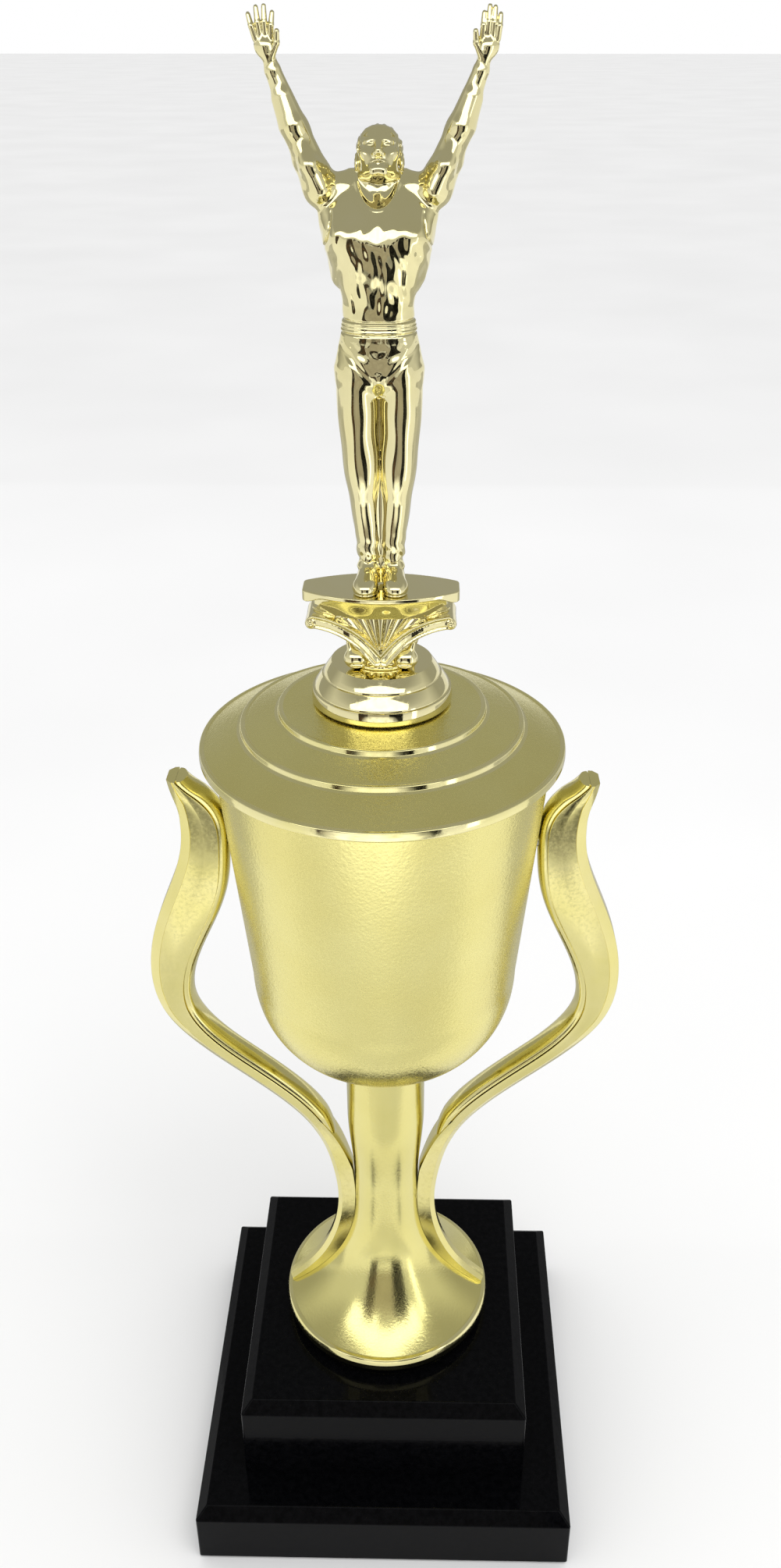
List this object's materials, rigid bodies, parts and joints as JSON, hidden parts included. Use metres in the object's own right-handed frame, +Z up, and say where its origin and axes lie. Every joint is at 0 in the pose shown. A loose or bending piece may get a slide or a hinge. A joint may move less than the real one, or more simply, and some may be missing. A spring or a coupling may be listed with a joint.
{
  "type": "cup trophy",
  "caption": "Two-handled cup trophy in gold finish with a lift-off stepped lid, a standing victory figure and a stepped square base.",
  "frame": {"origin": "centre of the underside of the base's felt pad", "axes": "+Z up along the cup's axis, -Y the way the figure faces, X across the two handles"},
  "size_m": [0.141, 0.124, 0.4562],
  "materials": {
    "base_lacquer": "high-gloss black lacquer",
    "felt": "black felt",
    "fastener_steel": "zinc-plated",
    "cup_gold": "satin gold with a fine pebbled texture",
    "stem_gold": "metallised satin gold",
    "handle_gold": "metallised bright gold",
    "figure_gold": "metallised mirror pale gold"
  },
  "bodies": {
    "cup_and_base": {"base_felt_pad": "felt", "base_lower_tier": "base_lacquer", "base_upper_tier": "base_lacquer", "base_tier_screws": "fastener_steel", "tie_rod": "fastener_steel", "tie_rod_base_washer": "fastener_steel", "tie_rod_base_nut": "fastener_steel", "cup_washer": "fastener_steel", "cup_nut": "fastener_steel", "foot_stem": "stem_gold", "cup_bowl": "cup_gold", "handle_right_outer": "handle_gold", "handle_right_inner": "handle_gold", "handle_left_outer": "handle_gold", "handle_left_inner": "handle_gold", "handle_screws": "fastener_steel"},
    "lid_and_figure": {"lid_shell": "cup_gold", "figure_bolt": "fastener_steel", "figure_washer": "fastener_steel", "figure_nut": "fastener_steel", "figure_collar": "figure_gold", "figure_pedestal": "figure_gold", "athlete_figure": "figure_gold"}
  },
  "joints": [
    {"name": "lid_lift", "type": "slide", "parent": "cup_and_base", "child": "lid_and_figure", "axis": [0, 0, 1], "range_m": [0, 0.06]}
  ]
}
